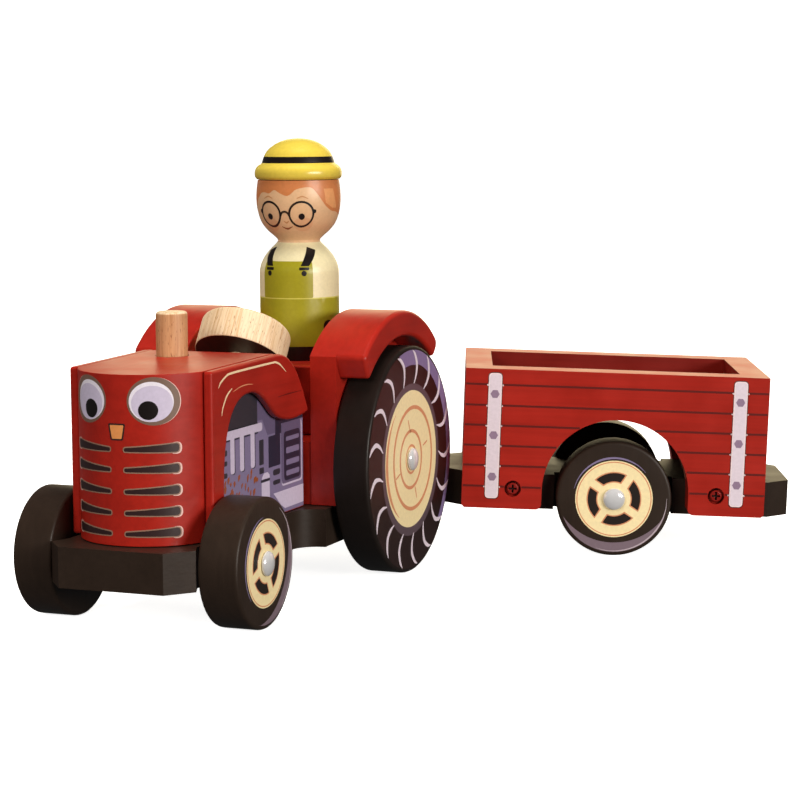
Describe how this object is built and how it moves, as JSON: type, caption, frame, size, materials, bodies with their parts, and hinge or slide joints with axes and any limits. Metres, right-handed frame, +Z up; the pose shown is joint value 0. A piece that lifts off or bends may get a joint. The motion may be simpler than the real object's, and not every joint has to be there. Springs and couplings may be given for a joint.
{
  "type": "toy tractor",
  "caption": "Wooden toy tractor with turning wheels, a lift-out peg driver and a hitched box trailer that swings behind it.",
  "frame": {"origin": "middle of the footprint, on the floor that the wheels stand on", "axes": "+Z up, tractor facing -Y, its left side towards +X"},
  "size_m": [0.2498, 0.3284, 0.1816],
  "materials": {
    "red_paint": "satin opaque paint on wood",
    "black_paint": "satin opaque paint on wood",
    "beech": "bare sanded beech",
    "doll_paint": "gloss printed paint on turned wood",
    "yellow_paint": "gloss paint on turned wood",
    "steel": "bright drawn steel",
    "chrome": "polished chrome plating",
    "red_screw": "steel screw painted over in red"
  },
  "bodies": {
    "tractor": {"base_board": "black_paint", "hitch_pin": "steel", "hood_block": "red_paint", "hood_side_left": "red_paint", "hood_side_right": "red_paint", "exhaust_pipe": "beech", "steering_column": "beech", "footwell_block": "red_paint", "seat_block": "red_paint", "cab_side_left": "red_paint", "cab_side_right": "red_paint", "fender_left": "red_paint", "fender_right": "red_paint", "front_axle": "steel", "front_axle_cap_left": "chrome", "front_axle_cap_right": "chrome", "rear_axle": "steel", "rear_axle_cap_left": "chrome", "rear_axle_cap_right": "chrome", "board_screw_1": "steel", "board_screw_2": "steel", "board_screw_3": "steel", "board_screw_4": "steel"},
    "steering": {"steering_wheel": "beech"},
    "driver": {"driver_body": "doll_paint", "driver_hat": "yellow_paint"},
    "front_left": {"front_wheel_left": "black_paint"},
    "front_right": {"front_wheel_right": "black_paint"},
    "rear_left": {"rear_wheel_left": "black_paint"},
    "rear_right": {"rear_wheel_right": "black_paint"},
    "trailer": {"trailer_board": "black_paint", "trailer_side_left": "red_paint", "trailer_side_right": "red_paint", "trailer_front_wall": "red_paint", "trailer_rear_wall": "red_paint", "trailer_bed": "red_paint", "trailer_axle": "steel", "trailer_axle_cap_left": "chrome", "trailer_axle_cap_right": "chrome", "side_screw_front_left": "red_screw", "side_screw_front_right": "red_screw", "side_screw_rear_left": "red_screw", "side_screw_rear_right": "red_screw"},
    "trailer_left": {"trailer_wheel_left": "black_paint"},
    "trailer_right": {"trailer_wheel_right": "black_paint"}
  },
  "joints": [
    {"name": "front_left_spin", "type": "hinge", "parent": "tractor", "child": "front_left", "pos_m": [-0.06659, -0.12971, 0.025], "axis": [1, 0, 0], "continuous": true},
    {"name": "front_right_spin", "type": "hinge", "parent": "tractor", "child": "front_right", "pos_m": [-0.06659, -0.12971, 0.025], "axis": [1, 0, 0], "continuous": true},
    {"name": "rear_left_spin", "type": "hinge", "parent": "tractor", "child": "rear_left", "pos_m": [-0.06659, -0.00331, 0.0477], "axis": [1, 0, 0], "continuous": true},
    {"name": "rear_right_spin", "type": "hinge", "parent": "tractor", "child": "rear_right", "pos_m": [-0.06659, -0.00331, 0.0477], "axis": [1, 0, 0], "continuous": true},
    {"name": "steering_turn", "type": "hinge", "parent": "tractor", "child": "steering", "pos_m": [-0.06659, -0.05221, 0.0935], "axis": [0, 0.5592, 0.829], "continuous": true},
    {"name": "driver_lift", "type": "slide", "parent": "tractor", "child": "driver", "axis": [0, 0, 1], "range_m": [0, 0.06]},
    {"name": "trailer_swing", "type": "hinge", "parent": "tractor", "child": "trailer", "pos_m": [-0.06659, 0.05719, 0.027], "axis": [0, 0, 1], "range_deg": [-5, 144]},
    {"name": "trailer_left_spin", "type": "hinge", "parent": "trailer", "child": "trailer_left", "pos_m": [0.04429, 0.09843, 0.025], "axis": [0.3486, -0.9373, 0], "continuous": true},
    {"name": "trailer_right_spin", "type": "hinge", "parent": "trailer", "child": "trailer_right", "pos_m": [0.04429, 0.09843, 0.025], "axis": [0.3486, -0.9373, 0], "continuous": true}
  ]
}
